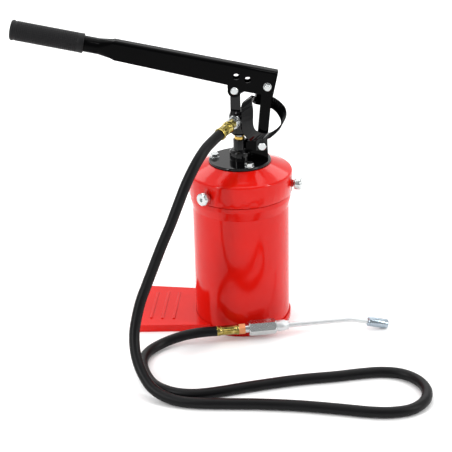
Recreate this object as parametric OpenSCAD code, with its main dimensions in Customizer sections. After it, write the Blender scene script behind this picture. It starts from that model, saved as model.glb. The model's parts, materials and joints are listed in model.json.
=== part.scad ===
/* [Bucket] */
// Outside diameter of the bucket wall
bucket_d = 150; // [130:1:190]
// Height of the bucket's rim above the floor
bucket_h = 236; // [190:1:290]
// Sheet thickness of the bucket and lid
sheet_t = 1.5; // [1:0.1:2.5]
// Height of the bucket's floor above the ground
floor_z = 5; // [3:0.5:10]
// Height of the ring around the foot of the bucket
base_ring_h = 10; // [6:0.5:16]

/* [Lid] */
// Gap between the bucket wall and the inside of the lid's skirt
skirt_gap = 3.4; // [2:0.1:6]
// Height of the lid's skirt
skirt_h = 33.5; // [28:0.5:45]
// Rise of the lid's cone from its shoulder to the pump flange
cone_rise = 13; // [6:1:20]
// Diameter of a lid screw's knob
knob_d = 19.5; // [14:0.5:24]
// Thickness of a lid screw's knob
knob_t = 10.5; // [6:0.5:12]

/* [Foot plate] */
// Distance from the bucket's axis to the free edge of the foot plate
plate_reach = 160; // [140:1:190]
// Width of the foot plate at the bucket
plate_w = 122; // [90:1:128]
// Extra width of the foot plate at its free edge
plate_flare = 16; // [0:1:24]
// Height of the foot plate's top above the ground
plate_top = 12; // [9:0.5:16]
// Thickness of the foot plate
plate_t = 2.5; // [1.5:0.1:4]
// Turn of the foot plate about the bucket's axis
plate_turn = -5; // [-10:1:10]

/* [Pump base] */
// Diameter of the pump flange
flange_d = 95.4; // [84:0.2:110]
// Thickness of the pump flange
flange_t = 4.5; // [4:0.5:8]
// Diameter of the hub on the flange
hub_d = 31.6; // [28:0.2:36]
// Diameter of the gland neck on the hub
neck_d = 19.8; // [18:0.2:24]
// Height of the gland neck above the flange
neck_h = 32; // [26:0.5:42]
// Distance from the pump axis to a flange bolt
bolt_r = 39.5; // [36:0.5:42]
// Thread diameter of the flange bolts
bolt_d = 6; // [5:0.5:8]

/* [Pump] */
// Diameter of the piston rod
rod_d = 11.4; // [10:0.2:13]
// Bore of the pump barrel
barrel_bore = 18; // [16:0.2:20]
// Wall of the pump barrel
barrel_wall = 3; // [2:0.2:5]
// Gap between the gland neck and the pump head
head_gap = 8; // [7:0.5:14]
// Diameter of the pump head's round body
head_d = 31; // [27:0.5:36]
// Height of the pump head's round body
head_h = 38; // [32:1:46]
// Diameter of the hole that takes the rod pin
rod_pin_d = 7; // [6:0.5:9]

/* [Lever] */
// Tilt of the lever at rest, grip end up
lever_tilt = 12.5; // [5:0.5:20]
// Width of the lever channel
lever_w = 20; // [18:0.5:24]
// Sheet thickness of the lever
lever_t = 2.5; // [2:0.1:3]
// Distance from the rod pin to the free end of the grip
lever_len = 339; // [300:1:420]
// Diameter of the lever's round end
tube_d = 24; // [20:0.5:26]
// Diameter of the grip
grip_d = 30.5; // [28:0.5:36]
// Length of the grip
grip_len = 109; // [90:1:125]

/* [Link] */
// Distance between the link's two pivots
link_len = 92.3; // [86:0.1:96]
// Tilt of the link at rest
link_tilt = 5.6; // [2:0.1:8]
// Width of the link
link_w = 16; // [14:0.5:18]
// Diameter of the link's pins
link_pin_d = 6; // [5:0.5:7]

/* [Hose] */
// Outside diameter of the hose
hose_d = 15.6; // [12:0.2:18]
// Diameter of the crimped ferrule at the pump head
ferrule_d = 18.6; // [17:0.2:22]
// Diameter of the nozzle line's crimped ferrule
nozzle_ferrule_d = 16; // [15:0.2:20]
// Length of the nozzle line's crimped ferrule
ferrule_len = 34; // [26:1:40]
// Length of the crimped ferrule at the pump head
head_ferrule_len = 27; // [22:1:40]
// Distance across the flats of the nozzle coupler
coupler_af = 21; // [17:0.5:24]
// Diameter of the nozzle pipe
pipe_d = 9; // [6:0.5:10]
// Diameter of the nozzle tip
tip_d = 15; // [12:0.5:18]

/* [Hidden] */
$fn = 64;

// Running clearance round a pin, and the gap between pieces that only lie side by side
run_gap = 0.05;
side_gap = 0.5;

bucket_r = bucket_d / 2;
base_ring_t = 2.4;
// The bucket is swaged out below the lid's skirt: how far, its flat height, and its whole height
bead_out = 3;
bead_h = 9;
swage_h = 23;
skirt_r = bucket_r + skirt_gap + sheet_t;
lid_shoulder_z = bucket_h + 15.5;
skirt_z = lid_shoulder_z - skirt_h;
flange_z = lid_shoulder_z + cone_rise;
flange_top = flange_z + flange_t;
lid_hole_r = hub_d / 2 + 6;
gasket_t = 3;

knob_angles = [-11, -129, 109];
knob_z = skirt_z + skirt_h * 0.4;
nut_t = 4;
knob_bore_d = 6;
knob_gap = 0.5;

// Three flange bolts stand round the hub
bolt_angles = [50, 170, 290];
foot_t = 3;
bolt_places = [for (a = bolt_angles) [bolt_r * cos(a), bolt_r * sin(a), flange_top]];
bolt_head_af = 12;
bolt_head_h = 5;
washer_t = 1.2;

neck_top = flange_top + neck_h;
hub_h = 15;
// The gland bush stands this far out of the neck
bush_rise = 4;
bush_h = 10;
barrel_r = barrel_bore / 2 + barrel_wall;
barrel_low = floor_z + sheet_t + 12;
foot_h = 14;
// The follower plate lies on the grease of a part-used filling
follower_z = floor_z + 140;

head_z = neck_top + head_gap;
head_top = head_z + head_h;
pin_x = -6.4;
pin_z = head_top + 32.5;
eye_r = 9;
eye_w = lever_w - 2 * lever_t - 2 * side_gap;
// The lever's depth, where its channel ends, where its round end starts, and that end's middle line
lever_deep = 40.4;
channel_end = -192;
tube_start = -208;
tube_v = 25.8;
// Two spare holes right through the lever
spare_hole_d = 9.6;

// The link's pivots, counted from the rod pin: the upper one in the lever's own frame
link_hole = [46.7, 15.4];
link_top = [pin_x + link_hole.x * cos(lever_tilt) + link_hole.y * sin(lever_tilt),
            pin_z - link_hole.x * sin(lever_tilt) + link_hole.y * cos(lever_tilt)];
link_low = [link_top.x - link_len * sin(link_tilt), link_top.y - link_len * cos(link_tilt)];
// The upper hole of the link is wide, because the lever's arc is taken up there
link_play = 1.8;

cheek_t = 3;
cheek_in = lever_w / 2 - lever_t + side_gap;
cheek_out = cheek_in + cheek_t;
lug_t = 2.5;

// The pump head's outlet: where its axis meets the head, and its direction
outlet_turn = -122;
outlet_dip = 9;
outlet_level = 28.5;
outlet_z = head_z + outlet_level;
boss_len = 15;
union_len = 11;
insert_len = 8;
insert_d = 14;
hose_from = boss_len + union_len + insert_len + head_ferrule_len;

// The nozzle line on the floor: its start, its direction, and lengths along it
nozzle_start = [-42, -95];
nozzle_turn = 7.5;
hex_len = 10;
stub_len = 6;
coupler_len = 42;
collar_len = 20;
pipe_run = 93;
pipe_bend_r = 70;
pipe_bend = 14;
pipe_end = 16;
tip_len = 34;
tip_chamfer = 1.5;
tip_bore_d = 6.5;
tip_bore_len = 12;
stub_at = ferrule_len + hex_len;
coupler_at = stub_at + stub_len;
collar_at = coupler_at + coupler_len;
pipe_at = collar_at + collar_len;
// The line lies level at this height, and its bent end brings the tip's rim down to the ground
nozzle_z = pipe_bend_r * (1 - cos(pipe_bend)) + (pipe_end + tip_len - tip_chamfer) * sin(pipe_bend)
    + tip_d / 2 * cos(pipe_bend);

// The hose's route from the pump head to the nozzle line, lying on the floor from its seventeenth point
lie = hose_d / 2;
outlet_dir = [cos(outlet_turn) * cos(outlet_dip), sin(outlet_turn) * cos(outlet_dip), -sin(outlet_dip)];
outlet_at = [2, -6, outlet_z];
hose_out = outlet_at + hose_from * outlet_dir;
hose_route = [
    [-51, -89, 318], [-66, -109, 301], [-80, -123, 277], [-92, -133, 250], [-104, -141, 222],
    [-117, -148, 194], [-129, -155, 166], [-141, -163, 138], [-150, -171, 117], [-156, -180, 97],
    [-160, -191, 78], [-160, -204, 60], [-156, -218, 44], [-148, -233, 30], [-136, -248, 18],
    [-118, -261, 11], [-95, -271, lie], [-65, -277, lie], [-25, -280, lie], [20, -283, lie],
    [75, -290, lie], [130, -301, lie], [171, -310, lie], [201, -312, lie], [229, -305, lie],
    [249, -285, lie], [256, -258, lie], [248, -231, lie], [228, -212, lie], [199, -205, lie],
    [166, -208, lie], [130, -214, lie], [75, -221, lie], [10, -235, lie], [-45, -249, lie],
    [-78, -253, lie], [-107, -246, lie], [-132, -226, lie], [-147, -194, lie], [-153, -160, lie],
    [-146, -130, lie], [-124, -108, 10], [-95, -99, 16]
];
hose_sides = 10;

// ---- Helpers ----

// A ring or a tube standing on z
module ring(r_out, r_in, z, h) {
    translate([0, 0, z]) difference() {
        cylinder(r = r_out, h = h);
        translate([0, 0, -1]) cylinder(r = r_in, h = h + 2);
    }
}

// A hexagonal prism by its distance across flats
module hex(af, h) { cylinder(r = af / 2 / cos(30), h = h, $fn = 6); }

// Children that lie along Z, laid along +Y at a point of the lever plane
module along_y(x, y, z) { translate([x, y, z]) rotate([-90, 0, 0]) children(); }

// The lever's own frame: X along the lever, Z across it, from the rod pin
module lever_frame() { translate([pin_x, 0, pin_z]) rotate([0, lever_tilt, 0]) children(); }

// The outlet's own frame: Z along the outlet
module outlet_frame(s) {
    translate(outlet_at) rotate([0, 0, outlet_turn]) rotate([0, 90 + outlet_dip, 0])
        translate([0, 0, s]) children();
}

// The nozzle line's own frame: Z along the line
module nozzle_frame(s) {
    translate([nozzle_start.x, nozzle_start.y, nozzle_z]) rotate([0, 0, nozzle_turn])
        rotate([0, 90, 0]) translate([0, 0, s]) children();
}

// A point of the smooth curve through a, b, c and d, between b and c
function spline(a, b, c, d, t) =
    0.5 * (2 * b + (c - a) * t + (2 * a - 5 * b + 4 * c - d) * t * t + (3 * b - a - 3 * c + d) * t * t * t);
function unit(v) = v / norm(v);

// A tube swept along points, one ring for each point
module sweep(p, r, sides) {
    last = len(p) - 1;
    rings = [for (i = [0 : last]) let (
        run = unit(p[min(i + 1, last)] - p[max(i - 1, 0)]),
        side = unit(cross(run, abs(run.z) > 0.99 ? [0, 1, 0] : [0, 0, 1])),
        top = cross(side, run)
    ) [for (k = [0 : sides - 1]) p[i] + r * (cos(k * 360 / sides) * side + sin(k * 360 / sides) * top)]];
    faces = concat(
        [[for (k = [0 : sides - 1]) k]],
        [[for (k = [sides - 1 : -1 : 0]) last * sides + k]],
        [for (i = [0 : last - 1], k = [0 : sides - 1]) let (
            a = i * sides + k, b = i * sides + (k + 1) % sides
        ) each [[a, a + sides, b], [b, a + sides, b + sides]]]
    );
    polyhedron(points = [for (g = rings) each g], faces = faces);
}

// ---- Bucket ----

module bucket_body() {
    wall = [
        [0, floor_z], [bucket_r, floor_z], [bucket_r, skirt_z - swage_h],
        [bucket_r + bead_out, skirt_z - bead_h], [bucket_r + bead_out, skirt_z - 2],
        [bucket_r + bead_out - 1, skirt_z - 1], [bucket_r, skirt_z + 1],
        [bucket_r, bucket_h], [bucket_r - sheet_t, bucket_h],
        [bucket_r - sheet_t, floor_z + sheet_t], [0, floor_z + sheet_t]
    ];
    color("red") rotate_extrude($fn = 96) polygon(wall);
}

module base_ring() {
    color("red") ring(bucket_r + base_ring_t, bucket_r, 0, base_ring_h);
}

module foot_plate() {
    lip = plate_top - 0.2;
    rib_w = 6;
    rib_h = 1.6;
    near = bucket_r * 0.6;
    w1 = plate_w / 2;
    w2 = (plate_w + plate_flare) / 2;
    outline = [[-plate_reach, -w2], [-near, -w1], [-near, w1], [-plate_reach, w2]];
    color("red") rotate([0, 0, plate_turn]) difference() {
        union() {
            difference() {
                translate([0, 0, plate_top - lip]) linear_extrude(lip) polygon(outline);
                translate([0, 0, -1]) linear_extrude(plate_top - plate_t + 1)
                    offset(delta = -plate_t) polygon(outline);
            }
            for (k = [0 : 2])
                translate([-plate_reach + 14 + 18 * k, 0, plate_top - 1]) intersection() {
                    rotate([90, 0, 0]) linear_extrude(w2 * 1.3, center = true)
                        polygon([[0, 0], [rib_w, 0], [rib_w - 1.5, rib_h + 1], [1.5, rib_h + 1]]);
                    translate([0, -w2, 0]) cube([rib_w, 2 * w2, 10]);
                }
        }
        translate([0, 0, -1]) cylinder(r = bucket_r + base_ring_t + 0.1, h = base_ring_h + 1.1);
        cylinder(r = bucket_r + 0.1, h = plate_top + 5);
    }
}

// ---- Lid ----

module bucket_lid() {
    r = skirt_r;
    seat = flange_d / 2 + 1;
    outer = [
        [lid_hole_r, flange_z], [seat, flange_z], [r - 4, lid_shoulder_z + 1], [r - 1.2, lid_shoulder_z],
        [r, lid_shoulder_z - 2], [r, skirt_z], [r - sheet_t, skirt_z], [r - sheet_t, lid_shoulder_z - 2.5],
        [r - 4, lid_shoulder_z + 1 - sheet_t - 0.6], [seat, flange_z - sheet_t], [lid_hole_r, flange_z - sheet_t]
    ];
    color("red") difference() {
        rotate_extrude($fn = 96) polygon(outer);
        for (a = knob_angles)
            rotate([0, 0, a]) translate([r - 5, 0, knob_z]) rotate([0, 90, 0]) cylinder(d = 6.2, h = 10);
        bolt_holes();
    }
}

module lid_gasket() {
    color("dimgray") ring(skirt_r - sheet_t - 0.3, bucket_r - 6, bucket_h, gasket_t);
}

module lid_weld_nuts() {
    color("red") for (a = knob_angles) rotate([0, 0, a]) difference() {
        translate([skirt_r - 1, 0, knob_z]) rotate([0, 90, 0]) hex(11, nut_t);
        translate([0, 0, knob_z - 10]) cylinder(r = skirt_r, h = 20, $fn = 96);
        translate([skirt_r - 3, 0, knob_z]) rotate([0, 90, 0]) cylinder(d = 6.2, h = 12);
    }
}

module lid_screws() {
    shank = [bucket_r + 0.3, skirt_r + nut_t + knob_gap];
    color("silver") for (a = knob_angles) rotate([0, 0, a]) difference() {
        union() {
            translate([shank[0], 0, knob_z]) rotate([0, 90, 0]) cylinder(d = 6, h = shank[1] - shank[0] + 1);
            translate([shank[1], 0, knob_z]) rotate([0, 90, 0]) rotate_extrude()
                polygon([[0, 0], [knob_d / 2 - 1, 0], [knob_d / 2, 1], [knob_d / 2, knob_t - 1.5],
                         [knob_d / 2 - 1.5, knob_t], [0, knob_t]]);
        }
        translate([shank[1] + knob_t - 4, 0, knob_z]) rotate([0, 90, 0]) cylinder(d = knob_bore_d, h = 6);
    }
}

// ---- Pump base ----

module pump_base() {
    profile = [
        [rod_d / 2 + 0.4, flange_z - 4], [barrel_r, flange_z - 4], [barrel_r, flange_z],
        [flange_d / 2, flange_z], [flange_d / 2, flange_top - 1.2], [flange_d / 2 - 1.2, flange_top],
        [hub_d / 2 + side_gap, flange_top], [hub_d / 2, flange_top + side_gap], [hub_d / 2, flange_top + hub_h - 3],
        [hub_d / 2 - 3, flange_top + hub_h], [neck_d / 2 + 1, flange_top + hub_h],
        [neck_d / 2, flange_top + hub_h + 1], [neck_d / 2, neck_top - 1], [neck_d / 2 - 1, neck_top],
        [rod_d / 2 + 2, neck_top], [rod_d / 2 + 2, neck_top - 18], [rod_d / 2 + 0.4, neck_top - 18]
    ];
    color("#15151a") difference() {
        rotate_extrude($fn = 96) polygon(profile);
        bolt_holes();
    }
}

module base_gasket() {
    color("dimgray") ring(lid_hole_r - 0.3, barrel_r + 0.2, flange_z - 2, 2);
}

module bolt_holes() {
    for (p = bolt_places) translate([p.x, p.y, flange_z - 5]) cylinder(d = bolt_d + 0.6, h = 20);
}

module flange_bolts() {
    head = [[0, 0], [bolt_head_af * 0.6, 0], [bolt_head_af * 0.6, bolt_head_h - 1.4],
            [bolt_head_af * 0.46, bolt_head_h], [0, bolt_head_h]];
    nut_z = flange_z - sheet_t - 5;
    color("silver") for (p = bolt_places) translate([p.x, p.y, 0]) {
        translate([0, 0, nut_z - 2]) cylinder(d = bolt_d, h = p.z + washer_t - nut_z + 3);
        translate([0, 0, p.z + washer_t]) intersection() {
            hex(bolt_head_af, bolt_head_h);
            rotate_extrude() polygon(head);
        }
        translate([0, 0, nut_z]) hex(bolt_head_af - 2, 5);
    }
}

module flange_washers() {
    color("silver") for (p = bolt_places) translate([p.x, p.y, p.z]) ring(7.2, bolt_d / 2 + 0.2, 0, washer_t);
}

module link_bracket() {
    x0 = neck_d / 2 - 0.5;
    foot_x = hub_d / 2 - 1;
    x1 = link_low.x + 8.5;
    top = link_low.y + 8;
    cheek = [
        [foot_x, flange_top], [x1 + 1, flange_top], [x1, top - 2], [x1 - 2, top], [x1 - 14, top + 1],
        [x0 + 3, top], [x0, top - 4], [x0, flange_top + hub_h + 1.5], [foot_x, flange_top + hub_h - 1]
    ];

    color("#15151a") difference() {
        union() {
            for (y = [-cheek_out, cheek_in])
                translate([0, y + cheek_t, 0]) rotate([90, 0, 0]) linear_extrude(cheek_t) polygon(cheek);
            translate([hub_d / 2 + 2.5, -cheek_in - 0.5, flange_top])
                cube([x1 - hub_d / 2 - 3, 2 * cheek_in + 1, foot_t]);
            translate([x0 + 3, -cheek_in - 0.5, flange_top + hub_h + 1.5])
                cube([2.5, 2 * cheek_in + 1, 11]);
        }
        along_y(link_low.x, -20, link_low.y) cylinder(d = link_pin_d, h = 40);
        cylinder(r = hub_d / 2 + side_gap, h = flange_top + hub_h + side_gap);
    }
}

// The carry loop is a strip bent into a closed ring round the link. Each station gives a point on each
// edge of the strip, as x and z from the bracket's pin and y as a multiple of the bracket's half width
loop_stations = [
    [[-7.5, -1.18, 7.5], [4.5, -1.18, 19.5]], [[-20.5, -2.2, 14.5], [-8.5, -1.9, 27.5]],
    [[-29.5, -2.45, 29.5], [-13, -2.2, 39.5]], [[-30, -2.35, 50.5], [-12.5, -2, 60]],
    [[-30.5, -2.1, 67.5], [-15.5, -1.8, 79]], [[-25.5, -1.5, 73.5], [-15, -1.25, 80.5]],
    [[-16.5, -0.55, 70.5], [-9.5, -0.35, 76.5]], [[-13.5, 0.65, 62.5], [-8.5, 0.75, 75.5]],
    [[-7.5, 1.25, 57.5], [-3.5, 1.35, 74.5]], [[8.5, 1.35, 53.5], [12.5, 1.45, 70.5]],
    [[20.5, 1.1, 47.5], [24.5, 1.25, 64.5]], [[27.5, 0.35, 40.5], [33.5, 0.75, 57.5]],
    [[30.5, -0.45, 34.5], [37.5, -0.1, 51.5]], [[28.5, -1.1, 27.5], [36.5, -0.9, 42.5]],
    [[20.5, -1.55, 20.5], [28.5, -1.25, 33.5]], [[10.5, -1.65, 13.5], [17.5, -1.35, 24.5]]
];
loop_edges = [for (s = loop_stations)
    [for (p = s) [link_low.x + p.x, cheek_out * p.y, link_low.y + p.z]]];
loop_t = 2;

module carry_loop() {
    n = len(loop_edges);
    // Two edge lines and the outward normal at each station, closed round the loop
    function edge(i, k) = loop_edges[(i + n) % n][k];
    function across(i) = edge(i, 1) - edge(i, 0);
    function along(i) = edge(i + 1, 0) + edge(i + 1, 1) - edge(i - 1, 0) - edge(i - 1, 1);
    function face(i) = unit(cross(along(i), across(i)));
    fine = 3;
    stations = [for (i = [0 : n - 1], k = [0 : fine - 1]) [
        for (s = [0, 1]) spline(edge(i - 1, s), edge(i, s), edge(i + 1, s), edge(i + 2, s), k / fine),
        unit(face(i) * (1 - k / fine) + face(i + 1) * (k / fine))
    ]];
    m = len(stations);
    pts = [for (s = stations) each [s[0], s[1], s[1] + loop_t * s[2], s[0] + loop_t * s[2]]];
    faces = [for (i = [0 : m - 1], k = [0 : 3]) let (
        a = i * 4 + k, b = i * 4 + (k + 1) % 4, c = ((i + 1) % m) * 4 + k, d = ((i + 1) % m) * 4 + (k + 1) % 4
    ) each [[a, c, b], [b, c, d]]];
    color("#15151a") {
        polyhedron(points = pts, faces = faces);
        difference() {
            translate([0, -cheek_out, 0]) rotate([90, 0, 0]) linear_extrude(lug_t) polygon([
                [link_low.x - 9, link_low.y - 7], [link_low.x + 7, link_low.y - 7],
                [link_low.x + 8, link_low.y + 12], [link_low.x - 8, link_low.y + 12]
            ]);
            along_y(link_low.x, -20, link_low.y) cylinder(d = link_pin_d, h = 40);
        }
    }
}

module bracket_pin() {
    front = cheek_out + lug_t;
    color("silver") {
        along_y(link_low.x, -front, link_low.y) cylinder(d = link_pin_d, h = front + cheek_out + 6);
        along_y(link_low.x, -front - 4, link_low.y) intersection() {
            hex(11.5, 4);
            rotate_extrude() polygon([[0, 0], [5.4, 0], [6.6, 1.2], [6.6, 4], [0, 4]]);
        }
    }
}

module bracket_nut() {
    color("silver") along_y(link_low.x, cheek_out, link_low.y) difference() {
        hex(10, 5);
        translate([0, 0, -1]) cylinder(d = link_pin_d, h = 7);
    }
}

// ---- Barrel ----

module barrel_tube() {
    color("silver") ring(barrel_r, barrel_bore / 2, barrel_low, flange_z - 4 - barrel_low);
}

module barrel_foot() {
    low = barrel_low - foot_h + 4;
    color("silver") difference() {
        union() {
            translate([0, 0, low]) cylinder(r = barrel_r + 3, h = foot_h - 4);
            translate([0, 0, barrel_low]) cylinder(r = barrel_bore / 2, h = 8);
        }
        translate([0, 0, low - 1]) cylinder(d = 8, h = 30);
        translate([0, 0, barrel_low + 2]) cylinder(d = 12.4, h = 30);
        for (a = [0, 90]) rotate([0, 0, a]) translate([-20, 0, low]) rotate([0, 90, 0]) cylinder(d = 7, h = 40);
    }
}

module foot_ball() {
    color("silver") translate([0, 0, barrel_low + 2 + sqrt(25 - 16)]) sphere(d = 10);
}

module gland_packing() {
    color("dimgray") ring(rod_d / 2 + 2, rod_d / 2 + run_gap, neck_top - 17.5, 11);
}

module gland_bush() {
    color("goldenrod") 
        ring(rod_d / 2 + 2, rod_d / 2 + run_gap, neck_top + bush_rise - bush_h, bush_h);
}

module follower_plate() {
    z = follower_z;
    color("silver") difference() {
        union() {
            ring(bucket_r - sheet_t - 4, barrel_r + 0.6, z, 2);
            ring(barrel_r + 6, barrel_r + 0.6, z, 9);
        }
        for (k = [0 : 3]) rotate([0, 0, 45 + 90 * k]) translate([bucket_r * 0.55, 0, z - 1])
            cylinder(d = 5, h = 5);
    }
}

module follower_wiper() {
    z = follower_z;
    r = bucket_r - sheet_t;
    color("dimgray") rotate_extrude($fn = 96) polygon([
        [r - 14, z + 2], [r - 2.5, z + 2], [r - 0.4, z - 5], [r - 0.2, z - 5], [r - 0.2, z + 6],
        [r - 0.8, z + 6], [r - 2.5, z + 4.5], [r - 14, z + 4.5]
    ]);
}

// ---- Pump head and piston ----

module head_block() {
    r = head_d / 2;
    body = [
        [rod_d / 2, head_z], [r - 4, head_z], [r, head_z + 4], [r, head_top - 9], [r - 3.5, head_top],
        [0, head_top], [0, head_z + 24], [rod_d / 2, head_z + 24]
    ];
    color("#15151a") difference() {
        union() {
            rotate_extrude() polygon(body);
            translate([pin_x - eye_r + 2.4, -eye_w / 2, head_top - 8])
                cube([eye_r * 1.7, eye_w, pin_z - head_top + 8]);
            along_y(pin_x, -eye_w / 2, pin_z) cylinder(r = eye_r, h = eye_w);
            intersection() {
                outlet_frame(0) cylinder(d = 17, h = boss_len);
                translate([0, 0, head_z]) cylinder(r = 60, h = head_h + 10);
            }
        }
        along_y(pin_x, -20, pin_z) cylinder(d = rod_pin_d + 2 * run_gap, h = 40);
        translate([0, 0, head_z - 1]) cylinder(d = rod_d, h = 23);
        translate([0, 0, head_z + 20]) cylinder(d = 4.5, h = outlet_level - 18);
        outlet_frame(4) cylinder(d = 8.4, h = boss_len);
        outlet_frame(-5) cylinder(d = 4.5, h = boss_len);
    }
}

module piston_rod() {
    low = barrel_low + 34;
    color("#d8d8dc") ring(rod_d / 2, 2.25, low, head_z + 22 - low);
}

module piston() {
    low = barrel_low + 20;
    r = barrel_bore / 2 - 0.1;
    color("silver") rotate_extrude() polygon([
        [2.25, low], [r, low], [r, low + 8], [r - 2, low + 8], [r - 2, low + 12], [r, low + 12],
        [r, low + 18], [rod_d / 2 + 2, low + 24], [rod_d / 2, low + 24], [rod_d / 2, low + 14], [2.25, low + 14]
    ]);
}

module piston_seal() {
    low = barrel_low + 28;
    color("dimgray") ring(barrel_bore / 2 - run_gap, barrel_bore / 2 - 2.1, low, 4);
}

module check_ball() { color("silver") outlet_frame(6.6) sphere(d = 5.5); }

module check_spring() {
    color("silver") outlet_frame(9.3) ring(2.6, 1.9, 0, 3.6);
}

module check_plug() {
    color("silver") outlet_frame(13) ring(4.2, 1.6, 0, 2);
}

module outlet_nut() {
    color("#dfe3e6") outlet_frame(boss_len) difference() {
        union() {
            cylinder(d = 19, h = 4);
            translate([0, 0, 4]) hex(17, union_len - 4);
        }
        translate([0, 0, -1]) cylinder(d = 9, h = union_len + 2);
    }
}

module head_insert() {
    color("goldenrod") outlet_frame(boss_len) difference() {
        union() {
            cylinder(d = 9, h = union_len);
            translate([0, 0, union_len]) cylinder(d = insert_d, h = insert_len);
        }
        translate([0, 0, -1]) cylinder(d = 5, h = union_len + insert_len + 2);
    }
}

// A crimped ferrule: a stepped sleeve that stands on z = 0
module ferrule(d, bore, length) {
    r = d / 2;
    rotate_extrude() polygon([
        [bore / 2, 0], [r - 1, 0], [r, 1], [r, 5], [r - 0.8, 6.5], [r - 0.8, length - 4],
        [r, length - 3], [r - 0.6, length], [bore / 2, length]
    ]);
}

module head_ferrule() {
    color("darkkhaki") outlet_frame(boss_len + union_len + insert_len)
        ferrule(ferrule_d, 5, head_ferrule_len);
}

// ---- Lever ----

module lever_side() {
    union() {
        polygon([
            [channel_end, lever_deep - 3.4], [channel_end + 6, lever_deep], [58, lever_deep], [58, 2],
            [30, 1.5], [14.5, 1.5], [2, -10], [-9, -4], [-12, 6.6], [channel_end + 9, 11.6], [channel_end, 15]
        ]);
        circle(r = eye_r + 1.4);
    }
}

// Section of the channel: a round-shouldered bar, open below when hollow is cut from it
module lever_section(grow) {
    w = lever_w / 2 - grow;
    shoulder = max(5 - grow, 1);
    translate([0, lever_deep - grow - shoulder]) for (s = [-1, 1]) translate([s * (w - shoulder), 0])
        circle(r = shoulder);
    translate([-w + shoulder, 20]) square([2 * (w - shoulder), lever_deep - 20 - grow]);
    translate([-w, -40]) square([2 * w, 40 + lever_deep - grow - shoulder]);
}

module lever_beam() {
    tube_from = -lever_len + 4;
    color("#15151a") lever_frame() difference() {
        union() {
            difference() {
                intersection() {
                    translate([0, lever_w / 2, 0]) rotate([90, 0, 0]) linear_extrude(lever_w) lever_side();
                    translate([channel_end, 0, 0]) rotate([90, 0, 90]) linear_extrude(260) lever_section(0);
                }
                translate([channel_end + 5, 0, 0]) rotate([90, 0, 90]) linear_extrude(260)
                    lever_section(lever_t);
            }
            hull() {
                translate([tube_start, 0, tube_v]) rotate([0, 90, 0]) cylinder(d = tube_d, h = 0.5, $fn = 32);
                translate([channel_end + 3, 0, tube_v]) rotate([90, 0, 90]) linear_extrude(0.5)
                    offset(r = 5, $fn = 32) square([lever_w - 10, 17], center = true);
            }
            translate([tube_from, 0, tube_v]) rotate([0, 90, 0]) cylinder(d = tube_d, h = tube_start - tube_from);
        }
        translate([tube_from - 1, 0, tube_v]) rotate([0, 90, 0])
            cylinder(d = tube_d - 2 * lever_t, h = tube_start - 4 - tube_from);
        for (p = [[-1.6, 21.4], [16, 20]])
            along_y(p[0], -20, p[1]) cylinder(d = spare_hole_d, h = 40);
        along_y(0, -20, 0) cylinder(d = rod_pin_d, h = 40);
        along_y(link_hole.x, -20, link_hole.y) cylinder(d = link_pin_d, h = 40);
    }
}

module lever_grip() {
    r = grip_d / 2;
    sleeve = [
        [0, 0], [r - 2.5, 0], [r - 0.8, 1], [r, 3], [r, grip_len - 1], [r - 1, grip_len],
        [tube_d / 2, grip_len], [tube_d / 2, 4], [0, 4]
    ];
    color("#26262a") lever_frame() translate([-lever_len, 0, tube_v]) rotate([0, 90, 0])
        rotate_extrude() polygon(sleeve);
}

module rod_pin() {
    half = lever_w / 2;
    color("silver") lever_frame() {
        along_y(0, -half, 0) cylinder(d = rod_pin_d, h = lever_w + 5);
        along_y(0, -half - 3.6, 0) rotate_extrude() polygon([[0, 0], [4.6, 0], [5.8, 1.2], [5.8, 3.6], [0, 3.6]]);
    }
}

module rod_pin_nut() {
    color("silver") lever_frame() along_y(0, lever_w / 2, 0) difference() {
        hex(12, 4.5);
        translate([0, 0, -1]) cylinder(d = rod_pin_d, h = 7);
    }
}

module link_bolt() {
    half = lever_w / 2;
    color("silver") lever_frame() {
        along_y(link_hole.x, -half - 7, link_hole.y) cylinder(d = link_pin_d, h = lever_w + 8.2);
        along_y(link_hole.x, half + 1.2, link_hole.y) hex(10, 4);
    }
}

module link_nut() {
    color("silver") lever_frame() along_y(link_hole.x, -lever_w / 2 - 6.2, link_hole.y) difference() {
        intersection() {
            hex(10, 5);
            rotate_extrude() polygon([[0, 0], [4.8, 0], [5.8, 1.2], [5.8, 5], [0, 5]]);
        }
        translate([0, 0, -1]) cylinder(d = link_pin_d, h = 7);
    }
}

module link_washers() {
    color("silver") lever_frame() for (y = [-lever_w / 2 - 1.2, lever_w / 2])
        along_y(link_hole.x, y, link_hole.y) ring(6.2, link_pin_d / 2, 0, 1.2);
}

// ---- Link ----

module link_bar() {
    w = link_w;
    half = lever_w / 2 - lever_t - side_gap;
    color("#15151a") difference() {
        translate([link_low.x, 0, link_low.y]) rotate([0, link_tilt, 0]) difference() {
            union() {
                translate([-w / 2, -half, 0]) cube([w, 2 * half, link_len]);
                for (z = [0, link_len]) along_y(0, -half, z) cylinder(d = w, h = 2 * half);
            }
            translate([w / 2 - 3, -half + 3, 14]) cube([w, 2 * half - 6, link_len - 28]);
        }
        along_y(link_top.x, -20, link_top.y) cylinder(d = link_pin_d + 2 * link_play, h = 40);
        along_y(link_low.x, -20, link_low.y) cylinder(d = link_pin_d + 4, h = 40);
    }
}

module link_bush() {
    half = lever_w / 2 - lever_t - side_gap;
    color("goldenrod") along_y(link_low.x, -half, link_low.y)
        ring(link_pin_d / 2 + 2, link_pin_d / 2 + run_gap, 0, 2 * half);
}

// ---- Hose and nozzle line ----

nozzle_in = [nozzle_start.x, nozzle_start.y, nozzle_z];
nozzle_dir = [cos(nozzle_turn), sin(nozzle_turn), 0];
hose_line = concat([hose_out, hose_out + 9 * outlet_dir], hose_route,
                   [nozzle_in - 25 * nozzle_dir, nozzle_in]);

module hose() { color("#2a2a2e") sweep(hose_line, hose_d / 2, hose_sides); }

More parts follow.
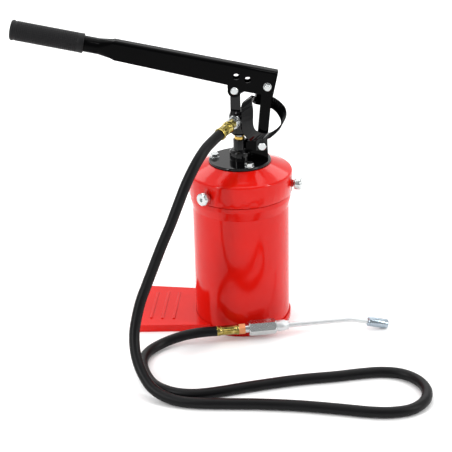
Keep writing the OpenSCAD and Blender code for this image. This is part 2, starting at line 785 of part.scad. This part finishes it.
module nozzle_ferrule() {
    color("darkkhaki") nozzle_frame(0) ferrule(nozzle_ferrule_d, 5, ferrule_len);
}

module nozzle_hex() {
    color("peru") nozzle_frame(ferrule_len) difference() {
        hex(15.5, hex_len);
        translate([0, 0, -1]) cylinder(d = 5, h = hex_len + 2);
    }
}

module coupler_stub() {
    color("#dfe3e6") nozzle_frame(stub_at) ring(6.5, 2.5, 0, stub_len);
}

module coupler_body() {
    color("#dfe3e6") nozzle_frame(coupler_at) rotate([0, 0, 30]) difference() {
        intersection() {
            hex(coupler_af, coupler_len);
            rotate_extrude() polygon([[0, 0], [coupler_af * 0.5, 0], [coupler_af * 0.58, 2.5],
                [coupler_af * 0.58, coupler_len - 2.5], [coupler_af * 0.5, coupler_len], [0, coupler_len]]);
        }
        translate([0, 0, -1]) cylinder(d = 6, h = coupler_len + 2);
    }
}

module coupler_collar() {
    color("#dfe3e6") nozzle_frame(collar_at) rotate_extrude() polygon([
        [pipe_d / 2, 0], [8.6, 0], [8.6, collar_len - 7], [7, collar_len - 3], [7, collar_len],
        [pipe_d / 2, collar_len]
    ]);
}

// A point of the pipe, by its distance along the line and its drop below it
function pipe_point(along, drop) = nozzle_in + (pipe_at + along) * nozzle_dir - [0, 0, drop];

module nozzle_pipe() {
    bend_run = pipe_bend_r * sin(pipe_bend);
    bend_drop = pipe_bend_r * (1 - cos(pipe_bend));
    line = concat(
        [pipe_point(-collar_len, 0)],
        [for (k = [0 : 4]) let (a = pipe_bend * k / 4)
            pipe_point(pipe_run + pipe_bend_r * sin(a), pipe_bend_r * (1 - cos(a)))],
        [pipe_point(pipe_run + bend_run + pipe_end * cos(pipe_bend), bend_drop + pipe_end * sin(pipe_bend))]
    );
    color("#dfe3e6") sweep(line, pipe_d / 2, 24);
}

// The frame at the end of the pipe's bend
module pipe_far() {
    translate([pipe_bend_r, 0, pipe_run]) rotate([0, pipe_bend, 0]) translate([-pipe_bend_r, 0, 0]) children();
}

module nozzle_tip() {
    r = tip_d / 2;
    color("silver") nozzle_frame(pipe_at) pipe_far() translate([0, 0, pipe_end]) difference() {
        rotate_extrude() polygon([
            [0, 0], [r - 2, 0], [r, 2], [r, tip_len - tip_chamfer], [r - tip_chamfer, tip_len], [0, tip_len]
        ]);
        translate([0, 0, tip_len - tip_bore_len]) cylinder(d = tip_bore_d + 2.4, h = 20);
        translate([0, 0, -1]) cylinder(d = 3, h = 60);
    }
}

module tip_jaws() {
    color("silver") nozzle_frame(pipe_at) pipe_far() translate([0, 0, pipe_end + tip_len - tip_bore_len])
        ring(tip_bore_d / 2 + 1.2, tip_bore_d / 2, 0, tip_bore_len);
}

bucket_body();
base_ring();
foot_plate();
bucket_lid();
lid_gasket();
lid_weld_nuts();
lid_screws();
pump_base();
base_gasket();
flange_bolts();
flange_washers();
link_bracket();
carry_loop();
bracket_pin();
bracket_nut();
barrel_tube();
barrel_foot();
foot_ball();
gland_packing();
gland_bush();
follower_plate();
follower_wiper();
head_block();
piston_rod();
piston();
piston_seal();
check_ball();
check_spring();
check_plug();
outlet_nut();
head_insert();
head_ferrule();
lever_beam();
lever_grip();
rod_pin();
rod_pin_nut();
link_bolt();
link_nut();
link_washers();
link_bar();
link_bush();
hose();
nozzle_ferrule();
nozzle_hex();
coupler_stub();
coupler_body();
coupler_collar();
nozzle_pipe();
nozzle_tip();
tip_jaws();
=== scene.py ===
"""Bucket grease gun: the finish of every piece, and the hose, its two ferrules and the grip as meshes."""
import json
from math import cos, pi, radians, sin

import bpy
from mathutils import Matrix, Vector


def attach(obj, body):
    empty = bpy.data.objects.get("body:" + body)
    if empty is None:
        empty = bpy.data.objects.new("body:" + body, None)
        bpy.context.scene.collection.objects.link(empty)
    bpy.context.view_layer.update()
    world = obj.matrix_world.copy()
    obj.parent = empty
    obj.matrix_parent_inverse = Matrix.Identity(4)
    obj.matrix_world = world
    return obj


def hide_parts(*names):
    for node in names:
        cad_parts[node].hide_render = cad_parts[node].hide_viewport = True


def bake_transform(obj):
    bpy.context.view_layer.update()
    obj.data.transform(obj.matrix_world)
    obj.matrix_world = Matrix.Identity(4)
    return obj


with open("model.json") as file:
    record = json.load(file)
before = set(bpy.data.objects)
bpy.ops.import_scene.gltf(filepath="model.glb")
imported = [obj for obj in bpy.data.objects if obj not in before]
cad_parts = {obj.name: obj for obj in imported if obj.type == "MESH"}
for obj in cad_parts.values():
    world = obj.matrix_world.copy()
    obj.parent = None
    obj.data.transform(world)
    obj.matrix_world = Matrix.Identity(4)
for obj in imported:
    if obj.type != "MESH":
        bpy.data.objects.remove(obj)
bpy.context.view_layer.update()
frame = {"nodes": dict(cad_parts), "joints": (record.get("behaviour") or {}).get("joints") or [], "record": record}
nodes = frame["nodes"]
MM = 0.001


# ---- Camera ----

# The place, the lens and the sensor are given in mm, and how far it sees in metres
CAMERA_AT = Vector((-23.8, -1731.7, 937.3)) * MM
CAMERA_DIP = radians(24.3)
CAMERA_ROLL = radians(-1.4)
CAMERA_LENS = 96.6
CAMERA_SENSOR = 36
CAMERA_SEES_TO = 20


def make_camera():
    """The camera in front of the bucket: it looks down on it and is rolled a little about its own view."""
    level = Vector((1, 0, 0))
    over = Vector((0, sin(CAMERA_DIP), cos(CAMERA_DIP)))
    right = level * cos(CAMERA_ROLL) + over * sin(CAMERA_ROLL)
    up = over * cos(CAMERA_ROLL) - level * sin(CAMERA_ROLL)
    camera = bpy.data.objects.new("camera", bpy.data.cameras.new("camera"))
    camera.data.lens = CAMERA_LENS
    camera.data.sensor_width = CAMERA_SENSOR
    camera.data.clip_end = CAMERA_SEES_TO
    turn = Matrix((right, up, right.cross(up))).transposed()
    camera.matrix_world = Matrix.Translation(CAMERA_AT) @ turn.to_4x4()
    bpy.context.scene.collection.objects.link(camera)
    bpy.context.scene.camera = camera


make_camera()


# ---- Mesh tools ----

def mesh_object(name, points, faces, smooth=True):
    """A piece from points in metres and faces that list them."""
    mesh = bpy.data.meshes.new(name)
    mesh.from_pydata([tuple(p) for p in points], [], faces)
    mesh.validate()
    for face in mesh.polygons:
        face.use_smooth = smooth
    piece = bpy.data.objects.new(name, mesh)
    bpy.context.scene.collection.objects.link(piece)
    return piece


def ring_faces(rings, sides, looped=False):
    """Quads between rings of points: looped joins the last ring to the first, or else the ends are capped."""
    faces = []
    for i in range(rings if looped else rings - 1):
        below, above = i * sides, (i + 1) % rings * sides
        for k in range(sides):
            beside = (k + 1) % sides
            faces.append((below + k, below + beside, above + beside, above + k))
    if not looped:
        faces += [tuple(range(sides))[::-1], tuple(range((rings - 1) * sides, rings * sides))]
    return faces


def turned_ring(place, height, radii):
    """A ring of points in metres round the Z axis of place, with a radius in mm for each of its points."""
    ring = []
    for k, radius in enumerate(radii):
        turn = 2 * pi * k / len(radii)
        ring.append(place @ Vector((radius * cos(turn), radius * sin(turn), height)) * MM)
    return ring


def spline(points, steps):
    """A smooth line through points, with a number of steps between each two."""
    last = len(points) - 1
    line = []
    for i in range(last):
        a, b = points[max(i - 1, 0)], points[i]
        c, d = points[i + 1], points[min(i + 2, last)]
        for k in range(steps):
            t = k / steps
            line.append(0.5 * (2 * b + (c - a) * t + (2 * a - 5 * b + 4 * c - d) * t ** 2
                               + (3 * b - a - 3 * c + d) * t ** 3))
    return line + [points[last]]


def tube_rings(line, radius, sides):
    """Rings of points round a line, carried along it without twist."""
    rings = []
    side = None
    for i, point in enumerate(line):
        run = (line[min(i + 1, len(line) - 1)] - line[max(i - 1, 0)]).normalized()
        side = run.orthogonal() if side is None else side - run * side.dot(run)
        side.normalize()
        over = run.cross(side)
        for k in range(sides):
            turn = 2 * pi * k / sides
            rings.append(point + (side * cos(turn) + over * sin(turn)) * radius)
    return rings


# ---- Outlet and nozzle line ----

# Lengths and places in mm, as in the CAD source
HOSE_D = 15.6
HEAD_OUTLET = Vector((2, -6, 337.5))
OUTLET_TURN = radians(-122)
OUTLET_DIP = radians(9)
OUTLET_RUN = Vector((cos(OUTLET_TURN) * cos(OUTLET_DIP), sin(OUTLET_TURN) * cos(OUTLET_DIP),
                     -sin(OUTLET_DIP)))
HOSE_FROM = 61
HEAD_FERRULE_LEN = 27
HEAD_FERRULE_D = 18.6
NOZZLE_AT = Vector((-42, -95, 21.09))
NOZZLE_TURN = radians(7.5)
NOZZLE_RUN = Vector((cos(NOZZLE_TURN), sin(NOZZLE_TURN), 0))
NOZZLE_FERRULE_LEN = 34
NOZZLE_FERRULE_D = 16

FERRULE_BORE_R = 2.6
FERRULE_SIDES = 96
FLUTES = 8
FLUTE_DEPTH = 0.85
FLUTE_SHARPNESS = 1.5
FERRULE_CREASE = radians(40)


def outlet_place(along):
    """The outlet's frame, Z along it, at a distance in mm from where its axis meets the head."""
    turn = Matrix.Rotation(OUTLET_TURN, 4, "Z") @ Matrix.Rotation(pi / 2 + OUTLET_DIP, 4, "Y")
    return Matrix.Translation(HEAD_OUTLET) @ turn @ Matrix.Translation((0, 0, along))


def nozzle_place(along):
    """The nozzle line's frame, Z along it, at a distance in mm from the hose's end."""
    turn = Matrix.Rotation(NOZZLE_TURN, 4, "Z") @ Matrix.Rotation(pi / 2, 4, "Y")
    return Matrix.Translation(NOZZLE_AT) @ turn @ Matrix.Translation((0, 0, along))


def make_ferrule(name, node, body, place, diameter, length):
    """A crimped ferrule: beaded ends, and between them the long flutes that the crimping jaws press in."""
    radius = diameter / 2
    # Each row is a radius, a distance along, and how far the jaws have closed there, from 0 to 1
    profile = [(FERRULE_BORE_R, 0, 0), (radius - 1, 0, 0), (radius - 0.3, 0.3, 0), (radius, 1, 0),
               (radius, 4.4, 0), (radius - 0.25, 5.2, 0), (radius - 0.9, 5.8, 0)]
    profile += [(radius - 0.5, along, closed) for along, closed in (
        (6.5, 0), (7.5, 0.5), (8.5, 1), (length / 2, 1), (length - 8, 1), (length - 6.5, 0.5),
        (length - 5.5, 0))]
    profile += [(radius - 0.8, length - 4.6, 0), (radius - 0.2, length - 4, 0), (radius, length - 3.2, 0),
                (radius, length - 1, 0), (radius - 0.4, length, 0), (FERRULE_BORE_R, length, 0)]
    flutes = [FLUTE_DEPTH * abs(cos(pi * FLUTES * k / FERRULE_SIDES)) ** FLUTE_SHARPNESS
              for k in range(FERRULE_SIDES)]
    points = []
    for ring_r, along, closed in profile:
        points += turned_ring(place, along, [ring_r - closed * flute for flute in flutes])
    ferrule = mesh_object(name, points, ring_faces(len(profile), FERRULE_SIDES, looped=True))
    ferrule.data.set_sharp_from_angle(angle=FERRULE_CREASE)
    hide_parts(node)
    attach(ferrule, body)
    return ferrule


head_ferrule = make_ferrule("hose_ferrule", "head_ferrule", "head",
                            outlet_place(HOSE_FROM - HEAD_FERRULE_LEN), HEAD_FERRULE_D, HEAD_FERRULE_LEN)
nozzle_ferrule = make_ferrule("nozzle_line_ferrule", "nozzle_ferrule", "root",
                              nozzle_place(0), NOZZLE_FERRULE_D, NOZZLE_FERRULE_LEN)


# ---- Hose ----

HOSE_SIDES = 24
HOSE_STEPS = 8
HOSE_LIE = HOSE_D / 2
HOSE_ROUTE = [
    (-51, -89, 318), (-66, -109, 301), (-80, -123, 277), (-92, -133, 250), (-104, -141, 222),
    (-117, -148, 194), (-129, -155, 166), (-141, -163, 138), (-150, -171, 117), (-156, -180, 97),
    (-160, -191, 78), (-160, -204, 60), (-156, -218, 44), (-148, -233, 30), (-136, -248, 18),
    (-118, -261, 11), (-95, -271, HOSE_LIE), (-65, -277, HOSE_LIE), (-25, -280, HOSE_LIE),
    (20, -283, HOSE_LIE), (75, -290, HOSE_LIE), (130, -301, HOSE_LIE), (171, -310, HOSE_LIE),
    (201, -312, HOSE_LIE), (229, -305, HOSE_LIE), (249, -285, HOSE_LIE), (256, -258, HOSE_LIE),
    (248, -231, HOSE_LIE), (228, -212, HOSE_LIE), (199, -205, HOSE_LIE), (166, -208, HOSE_LIE),
    (130, -214, HOSE_LIE), (75, -221, HOSE_LIE), (10, -235, HOSE_LIE), (-45, -249, HOSE_LIE),
    (-78, -253, HOSE_LIE), (-107, -246, HOSE_LIE), (-132, -226, HOSE_LIE), (-147, -194, HOSE_LIE),
    (-153, -160, HOSE_LIE), (-146, -130, HOSE_LIE), (-124, -108, 10), (-95, -99, 16),
]
# The hose runs straight for this far, in mm, out of each ferrule
STRAIGHT_AT_HEAD = 9
STRAIGHT_AT_NOZZLE = 25


def wrap_hose(mesh, along):
    """A map round and along the hose: 0 to 1 round it, and mm along it."""
    wrap = mesh.uv_layers.new(name="wrap")
    for face in mesh.polygons:
        sides_met = [mesh.loops[corner].vertex_index % HOSE_SIDES for corner in face.loop_indices]
        for corner in face.loop_indices:
            ring, side = divmod(mesh.loops[corner].vertex_index, HOSE_SIDES)
            # The face that closes the ring ends at 1, not back at 0
            closes = side == 0 and HOSE_SIDES - 1 in sides_met
            wrap.data[corner].uv = (1.0 if closes else side / HOSE_SIDES, along[ring] / MM)


def make_hose():
    start = HEAD_OUTLET + HOSE_FROM * OUTLET_RUN
    stations = [start, start + STRAIGHT_AT_HEAD * OUTLET_RUN] + [Vector(p) for p in HOSE_ROUTE]
    stations += [NOZZLE_AT - STRAIGHT_AT_NOZZLE * NOZZLE_RUN, NOZZLE_AT]
    line = [p * MM for p in spline(stations, HOSE_STEPS)]
    along = [0.0]
    for a, b in zip(line, line[1:]):
        along.append(along[-1] + (b - a).length)
    hose = mesh_object("hose_tube", tube_rings(line, HOSE_D / 2 * MM, HOSE_SIDES),
                       ring_faces(len(line), HOSE_SIDES))
    wrap_hose(hose.data, along)
    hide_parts("hose")
    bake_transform(hose)
    return hose


hose = make_hose()


# ---- Materials ----

def linear(colour):
    """An sRGB hex colour as the linear colour that the shader takes."""
    parts = [int(colour[i:i + 2], 16) / 255 for i in (1, 3, 5)]
    return tuple(p / 12.92 if p <= 0.04045 else ((p + 0.055) / 1.055) ** 2.4 for p in parts) + (1.0,)


def add(tree, kind, inputs=None, **settings):
    """A node with its settings, and its inputs as values or as links from other nodes."""
    made = tree.nodes.new(kind)
    for name, value in settings.items():
        setattr(made, name, value)
    for name, value in (inputs or {}).items():
        if isinstance(value, bpy.types.NodeSocket):
            tree.links.new(value, made.inputs[name])
        else:
            made.inputs[name].default_value = value
    return made


def surface(name):
    """A new material with no nodes but the coordinates of the piece, in metres."""
    material = bpy.data.materials.new(name)
    material.use_nodes = True
    tree = material.node_tree
    tree.nodes.clear()
    place = add(tree, "ShaderNodeTexCoord").outputs["Object"]
    return material, tree, place


def close(tree, shader):
    add(tree, "ShaderNodeOutputMaterial", {"Surface": shader.outputs[0]})


def per_mm(size):
    """A texture's scale, in repeats per metre, from the size of one repeat in mm."""
    return 1000 / size


def clouded(tree, place, base, other, patch_mm, detail):
    """A colour that drifts between two in patches of a size, and the cloud that it follows."""
    cloud = add(tree, "ShaderNodeTexNoise", {"Vector": place, "Scale": per_mm(patch_mm), "Detail": detail})
    colour = add(tree, "ShaderNodeMix", {"Factor": cloud.outputs[0], "A": linear(base), "B": linear(other)},
                 data_type="RGBA")
    return colour.outputs["Result"], cloud.outputs[0]


def enamel(name, base, deep, specular, rough, peel_mm):
    """Stoved enamel sprayed on sheet steel: an even, deep gloss with a faint orange peel and a thinner coat
    in places."""
    material, tree, place = surface(name)
    colour, _ = clouded(tree, place, base, deep, patch_mm=60, detail=3.0)
    dust = add(tree, "ShaderNodeTexNoise", {"Vector": place, "Scale": per_mm(14), "Detail": 5.0})
    gloss = add(tree, "ShaderNodeMapRange", {
        "Value": dust.outputs[0], "To Min": rough * 0.8, "To Max": rough * 1.3})
    peel = add(tree, "ShaderNodeTexNoise", {"Vector": place, "Scale": per_mm(peel_mm), "Detail": 1.0})
    bump = add(tree, "ShaderNodeBump", {"Height": peel.outputs[0], "Strength": 0.1, "Distance": 0.1 * MM})
    close(tree, add(tree, "ShaderNodeBsdfPrincipled", {
        "Base Color": colour, "Roughness": gloss.outputs[0], "Normal": bump.outputs[0],
        "Specular IOR Level": specular}))
    return material


def plated(name, bright, dull, rough, grain_mm, stretch=(1, 1, 1)):
    """Plated steel: a metal with a fine turned or drawn grain and small cloudy patches."""
    material, tree, place = surface(name)
    colour, _ = clouded(tree, place, bright, dull, patch_mm=7, detail=4.0)
    drawn = add(tree, "ShaderNodeMapping", {"Vector": place, "Scale": stretch})
    grain = add(tree, "ShaderNodeTexNoise", {
        "Vector": drawn.outputs[0], "Scale": per_mm(grain_mm), "Detail": 6.0})
    gloss = add(tree, "ShaderNodeMapRange", {
        "Value": grain.outputs[0], "To Min": rough * 0.7, "To Max": rough * 1.4})
    bump = add(tree, "ShaderNodeBump", {"Height": grain.outputs[0], "Strength": 0.15, "Distance": 0.1 * MM})
    close(tree, add(tree, "ShaderNodeBsdfPrincipled", {
        "Base Color": colour, "Metallic": 1.0, "Roughness": gloss.outputs[0], "Normal": bump.outputs[0]}))
    return material


def yellow_passivate():
    """Yellow passivated zinc on the crimped ferrules: olive gold with faint green and straw bands."""
    material, tree, place = surface("yellow_passivated_zinc")
    bands = add(tree, "ShaderNodeTexNoise", {
        "Vector": place, "Scale": per_mm(9), "Detail": 3.0, "Distortion": 1.2})
    ramp = add(tree, "ShaderNodeValToRGB", {"Fac": bands.outputs[0]})
    ramp.color_ramp.elements[0].position = 0.3
    ramp.color_ramp.elements[0].color = linear("#5E5528")
    ramp.color_ramp.elements[1].position = 0.7
    ramp.color_ramp.elements[1].color = linear("#CDBB78")
    middle = ramp.color_ramp.elements.new(0.5)
    middle.color = linear("#9A8A45")
    grain = add(tree, "ShaderNodeTexNoise", {"Vector": place, "Scale": per_mm(0.8), "Detail": 4.0})
    bump = add(tree, "ShaderNodeBump", {"Height": grain.outputs[0], "Strength": 0.2, "Distance": 0.1 * MM})
    close(tree, add(tree, "ShaderNodeBsdfPrincipled", {
        "Base Color": ramp.outputs[0], "Metallic": 1.0, "Roughness": 0.2, "Normal": bump.outputs[0]}))
    return material


def rubber(name, base, worn, rough, grain_mm):
    """Moulded rubber: near black, matt to satin, with a fine pitted skin and a greyer bloom on it."""
    material, tree, place = surface(name)
    colour, _ = clouded(tree, place, base, worn, patch_mm=22, detail=5.0)
    skin = add(tree, "ShaderNodeTexNoise", {"Vector": place, "Scale": per_mm(grain_mm), "Detail": 4.0})
    bump = add(tree, "ShaderNodeBump", {"Height": skin.outputs[0], "Strength": 0.25, "Distance": 0.2 * MM})
    close(tree, add(tree, "ShaderNodeBsdfPrincipled", {
        "Base Color": colour, "Roughness": rough, "Specular IOR Level": 0.2, "Normal": bump.outputs[0]}))
    return material


# The wave texture repeats every 0.63 of a unit, so 0.4 per mm prints a line every 1.6 mm along the hose,
# and 8 round the hose makes the lines slant. Real cloth is finer; it is drawn this coarse so that it shows
CLOTH_PRINT = (8.0, 0.4, 1.0)


def hose_cover():
    """Extruded hose cover: satin black rubber, cured in a cloth wrap that leaves a fine slanting print."""
    material, tree, place = surface("wrapped_hose_rubber")
    colour, bloom = clouded(tree, place, "#060607", "#0D0D0F", patch_mm=35, detail=4.0)
    wrap = add(tree, "ShaderNodeUVMap", uv_map="wrap")
    slant = add(tree, "ShaderNodeMapping", {"Vector": wrap.outputs[0], "Scale": CLOTH_PRINT})
    cloth = add(tree, "ShaderNodeTexWave", {"Vector": slant.outputs[0], "Scale": 1.0, "Distortion": 0.6},
                bands_direction="DIAGONAL")
    skin = add(tree, "ShaderNodeTexNoise", {"Vector": place, "Scale": per_mm(0.9), "Detail": 4.0})
    height = add(tree, "ShaderNodeMix", {"Factor": 0.6, "A": cloth.outputs["Fac"], "B": skin.outputs[0]},
                 data_type="FLOAT")
    bump = add(tree, "ShaderNodeBump", {
        "Height": height.outputs["Result"], "Strength": 0.2, "Distance": 0.2 * MM})
    gloss = add(tree, "ShaderNodeMapRange", {"Value": bloom, "To Min": 0.34, "To Max": 0.5})
    close(tree, add(tree, "ShaderNodeBsdfPrincipled", {
        "Base Color": colour, "Roughness": gloss.outputs[0], "Specular IOR Level": 0.16,
        "Normal": bump.outputs[0]}))
    return material


# The keys are the record's material slots, with two finishes more
FINISHES = {
    "red_enamel": enamel("red_stoved_enamel", "#D8150A", "#C21008", specular=0.22, rough=0.1, peel_mm=2.2),
    "black_enamel": enamel("black_stoved_enamel", "#040405", "#020202", specular=0.05, rough=0.1,
                           peel_mm=1.8),
    "wet_black": enamel("black_dipped_enamel", "#08080A", "#040405", specular=0.28, rough=0.08,
                        peel_mm=1.8),
    "zinc_plate": plated("bright_zinc_plate", "#DADDDD", "#B4B8B8", rough=0.24, grain_mm=0.8),
    "satin_zinc": plated("satin_zinc_plate", "#DCDFE0", "#C8CCCD", rough=0.5, grain_mm=1.0),
    "tip_steel": plated("blued_zinc_plate", "#B4C0C8", "#8896A1", rough=0.26, grain_mm=0.6),
    "pump_steel": plated("turned_steel", "#B9BABC", "#8D8F92", rough=0.35, grain_mm=0.7),
    "rod_chrome": plated("ground_chrome", "#A9ABAE", "#8E9194", rough=0.12, grain_mm=0.5,
                         stretch=(1, 1, 0.1)),
    "copper_plate": plated("copper_flash_plate", "#D79A6E", "#B06E48", rough=0.3, grain_mm=0.8),
    "brass": plated("turned_brass", "#D9B868", "#B08D42", rough=0.25, grain_mm=0.6),
    "yellow_zinc": yellow_passivate(),
    "seal_rubber": rubber("nitrile_rubber", "#1A1A1B", "#242425", rough=0.6, grain_mm=0.8),
    "grip_rubber": rubber("grip_rubber", "#08080A", "#121214", rough=0.5, grain_mm=0.6),
    "hose_rubber": hose_cover(),
}
# The strip and the castings are dipped and shine more than the sprayed lever; the tube's plate is duller
OWN_FINISHES = {
    "carry_loop": "wet_black", "pump_base": "wet_black", "head_block": "wet_black",
    "nozzle_pipe": "satin_zinc", "coupler_collar": "satin_zinc",
}


def finish_piece(piece, finish):
    piece.data.materials.clear()
    piece.data.materials.append(FINISHES[finish])


for row in frame["record"]["subparts"]:
    finish_piece(nodes[row["node"]], OWN_FINISHES.get(row["node"], row["material_slot"]))
finish_piece(hose, "hose_rubber")
finish_piece(head_ferrule, "yellow_zinc")
finish_piece(nozzle_ferrule, "yellow_zinc")


# ---- Edges ----

WELD_WITHIN = 0.01
EDGE_ANGLE = radians(30)
EDGE_SEGMENTS = 2
# Width in mm of the round that pressing, casting or tumbling leaves on each piece's edges
EDGE_ROUNDS = {
    "bucket_lid": 0.6, "lever_beam": 1.0, "head_block": 1.0, "pump_base": 0.5, "link_bracket": 0.5,
    "carry_loop": 0.5, "foot_plate": 0.8, "base_ring": 0.5, "lid_screws": 0.4, "flange_bolts": 0.4,
    "flange_washers": 0.3, "rod_pin": 0.4, "link_nut": 0.4, "bracket_pin": 0.4, "outlet_nut": 0.4,
    "nozzle_hex": 0.4, "coupler_body": 0.6, "coupler_collar": 0.5, "nozzle_tip": 0.5, "lid_weld_nuts": 0.5,
    "rod_pin_nut": 0.4, "bracket_nut": 0.4, "link_bolt": 0.4, "link_washers": 0.3, "head_insert": 0.3,
}


def soften(piece, width):
    """Breaks the hard edges of a piece with a small round."""
    weld = piece.modifiers.new("weld", "WELD")
    weld.merge_threshold = WELD_WITHIN * MM
    bevel = piece.modifiers.new("edge_round", "BEVEL")
    bevel.width = width * MM
    bevel.segments = EDGE_SEGMENTS
    bevel.angle_limit = EDGE_ANGLE
    bevel.harden_normals = True
    bevel.use_clamp_overlap = True


for name, width in EDGE_ROUNDS.items():
    soften(nodes[name], width)


# ---- Grip ----

# Sizes and places in mm; GRIP_AT is along, beside and across the lever from the rod pin
LEVER_TILT = radians(12.5)
ROD_PIN = Vector(next(j for j in frame["joints"] if j["name"] == "lever_swing")["pos_m"]) / MM
GRIP_AT = Vector((-339, 0, 25.8))
GRIP_R = 15.25
GRIP_LEN = 109
GRIP_BORE_R = 12
GRIP_END_T = 4
GRIP_CENTRE_R = 0.5
GRIP_CREASE = radians(50)
# The small square pads all round the sleeve, in mm: where they start and end, and the grooves between them
PADS_FROM = 9.0
PADS_TO = 101.0
PAD_PITCH = 2.9
PADS_ROUND = 32
PAD_STEPS = 4
PAD_R = GRIP_R - 0.55
PAD_GROOVE_R = GRIP_R - 1.15
PAD_GROOVE_DEPTH = 0.6


def lever_place(at):
    """The lever's own frame with its Z turned along the lever, at a point along, beside and across it."""
    tilt = Matrix.Rotation(LEVER_TILT, 4, "Y")
    return Matrix.Translation(ROD_PIN) @ tilt @ Matrix.Translation(at) @ Matrix.Rotation(pi / 2, 4, "Y")


def make_grip():
    """A sleeve: a rolled collar at its closed end, square pads all round, and a plain rim at its mouth."""
    # Each row is a radius, a distance along, and whether grooves part it into pads
    rows = [(GRIP_CENTRE_R, 0, False), (8, 0.15, False), (GRIP_R - 3, 0.8, False),
            (GRIP_R - 0.9, 2.0, False), (GRIP_R, 3.6, False), (GRIP_R, 5.4, False),
            (GRIP_R - 0.5, 6.6, False), (GRIP_R - 1.1, 7.4, False), (GRIP_R - 1.1, 8.6, False)]
    pad_rows = int((PADS_TO - PADS_FROM) / PAD_PITCH)
    for row in range(pad_rows):
        base = PADS_FROM + row * PAD_PITCH
        rows += [(PAD_GROOVE_R, base, False), (PAD_GROOVE_R, base + 0.5, False),
                 (PAD_R, base + 0.85, True), (PAD_R, base + PAD_PITCH - 0.35, True)]
    end = PADS_FROM + pad_rows * PAD_PITCH
    rows += [(PAD_GROOVE_R, end, False), (GRIP_R - 0.7, end + 0.8, False),
             (GRIP_R - 0.5, GRIP_LEN - 1.2, False), (GRIP_R - 0.9, GRIP_LEN - 0.2, False),
             (GRIP_R - 1.6, GRIP_LEN, False), (GRIP_BORE_R, GRIP_LEN, False),
             (GRIP_BORE_R, GRIP_END_T, False), (GRIP_CENTRE_R, GRIP_END_T, False)]
    place = lever_place(GRIP_AT)
    sides = PADS_ROUND * PAD_STEPS
    points = []
    for radius, height, padded in rows:
        points += turned_ring(place, height, [
            radius - (PAD_GROOVE_DEPTH if padded and k % PAD_STEPS == 0 else 0) for k in range(sides)])
    grip = mesh_object("grip_sleeve", points, ring_faces(len(rows), sides))
    grip.data.set_sharp_from_angle(angle=GRIP_CREASE)
    finish_piece(grip, "grip_rubber")
    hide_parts("lever_grip")
    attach(grip, "lever")


make_grip()


# ---- Stage ----

FLOOR_REACH = 8
# The tent's glow in front of the object and behind it
TENT_FRONT = 0.4
TENT_BACK = 1.0
MIDDLE = (0, 0, 0.22)
# Each light's place, what it is aimed at and its two sizes in metres, and its power in watts
LIGHTS = {
    "key_left": ((-1.5, -1.3, 1.5), MIDDLE, (0.35, 1.6), 26),
    "fill_right": ((1.6, -0.8, 1.2), MIDDLE, (0.3, 1.6), 18),
    "top": ((0.0, 0.2, 2.2), MIDDLE, (2.0, 1.6), 16),
    "back_floor": ((0.0, 2.4, 2.0), (0, 2.6, 0), (4.0, 2.0), 60),
}


def make_light(name, at, aim, size, power):
    lamp = bpy.data.objects.new(name, bpy.data.lights.new(name, "AREA"))
    lamp.data.shape = "RECTANGLE"
    lamp.data.size, lamp.data.size_y = size
    lamp.data.energy = power
    lamp.location = at
    lamp.rotation_euler = (Vector(aim) - Vector(at)).to_track_quat("-Z", "Y").to_euler()
    bpy.context.scene.collection.objects.link(lamp)


def make_floor():
    corners = [(x * FLOOR_REACH, y * FLOOR_REACH, 0) for x, y in ((-1, -1), (1, -1), (1, 1), (-1, 1))]
    floor = mesh_object("floor", corners, [(0, 1, 2, 3)], smooth=False)
    material, tree, _ = surface("white_paper_floor")
    close(tree, add(tree, "ShaderNodeBsdfPrincipled", {
        "Base Color": linear("#FAFAFA"), "Roughness": 0.9, "Specular IOR Level": 0.0}))
    floor.data.materials.append(material)


def make_tent():
    """A white tent that is bright behind the object and dim in front of it, so that gloss keeps its depth."""
    world = bpy.data.worlds.new("white_tent")
    world.use_nodes = True
    tree = world.node_tree
    tree.nodes.clear()
    sight = add(tree, "ShaderNodeTexCoord").outputs["Generated"]
    ways = add(tree, "ShaderNodeSeparateXYZ", {"Vector": sight})
    glow = add(tree, "ShaderNodeMapRange", {
        "Value": ways.outputs["Y"], "From Min": -0.5, "From Max": 0.4,
        "To Min": TENT_FRONT, "To Max": TENT_BACK})
    sky = add(tree, "ShaderNodeBackground", {"Color": (1, 1, 1, 1), "Strength": glow.outputs[0]})
    add(tree, "ShaderNodeOutputWorld", {"Surface": sky.outputs[0]})
    bpy.context.scene.world = world


make_floor()
make_tent()
for name, light in LIGHTS.items():
    make_light(name, *light)
bpy.context.scene.view_settings.view_transform = "Standard"
